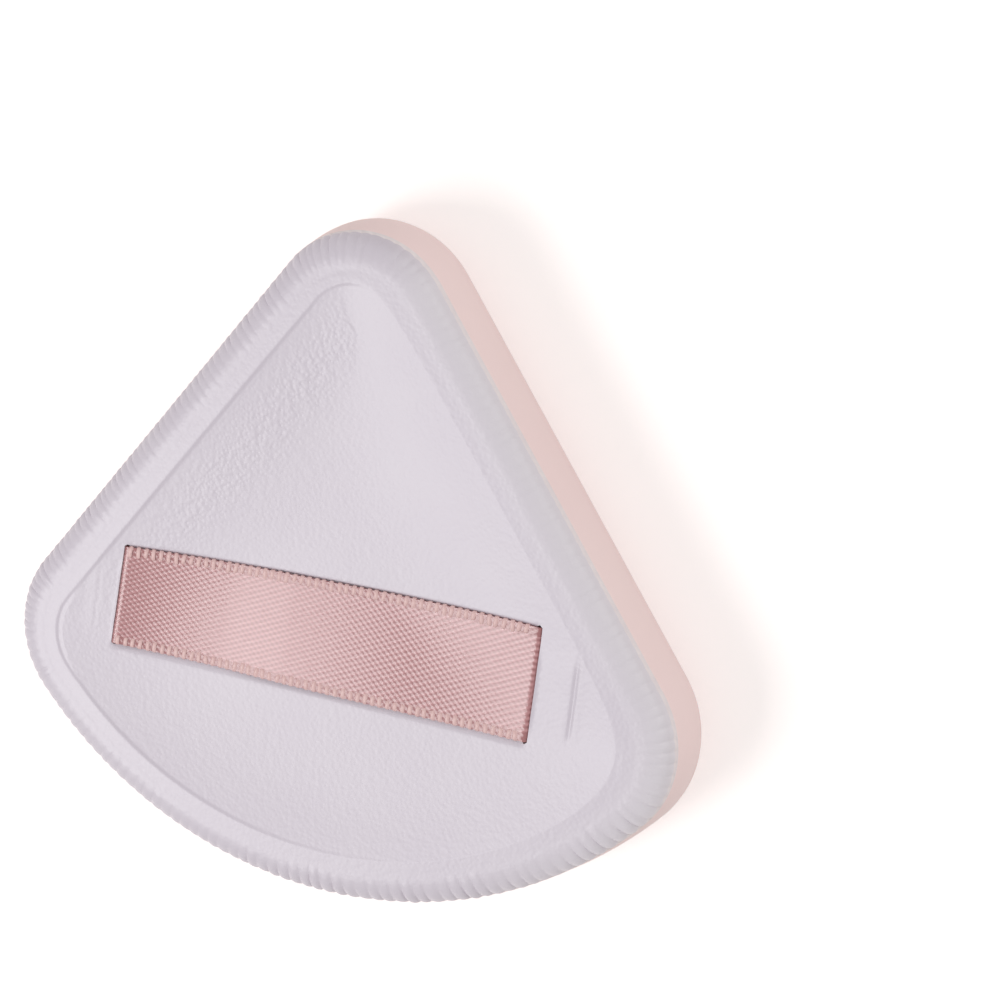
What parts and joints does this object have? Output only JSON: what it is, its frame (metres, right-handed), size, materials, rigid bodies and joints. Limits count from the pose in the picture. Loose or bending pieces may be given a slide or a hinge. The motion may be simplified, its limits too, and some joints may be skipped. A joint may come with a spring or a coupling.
{
  "type": "powder puff",
  "caption": "Soft rounded-triangle powder puff: sponge pad in a sewn cover with a smooth pink face, a gathered pale leather back and a satin ribbon finger strap.",
  "frame": {"origin": "middle of the contact face, at the centre of the part's box, on the plane that the face rests on", "axes": "+Z from the contact face to the leather back, +X along the ribbon, +Y from the curved base to the apex"},
  "size_m": [0.0762, 0.0712, 0.0123],
  "materials": {
    "pink_skin": "matte",
    "sponge": "matte",
    "lavender_leather": "satin",
    "nonwoven": "matte",
    "thread": "matte",
    "satin_ribbon": "satin",
    "adhesive_tape": "satin"
  },
  "bodies": {
    "pad": {"front_cover": "pink_skin", "foam_core": "sponge"},
    "back": {"back_cover": "lavender_leather", "backing_sheet": "nonwoven", "overlock_thread": "thread", "tail_tape_left": "adhesive_tape", "tail_tape_right": "adhesive_tape"},
    "strap": {"ribbon": "satin_ribbon"}
  },
  "joints": [
    {"name": "foam_press", "type": "slide", "parent": "pad", "child": "back", "axis": [0, 0, -1], "range_m": [0, 0.004], "stiffness_N_per_m": 800, "deforming": ["front_cover", "foam_core"]},
    {"name": "ribbon_lift", "type": "slide", "parent": "back", "child": "strap", "axis": [0, 0, 1], "range_m": [0, 0.007], "deforming": ["ribbon"]}
  ]
}
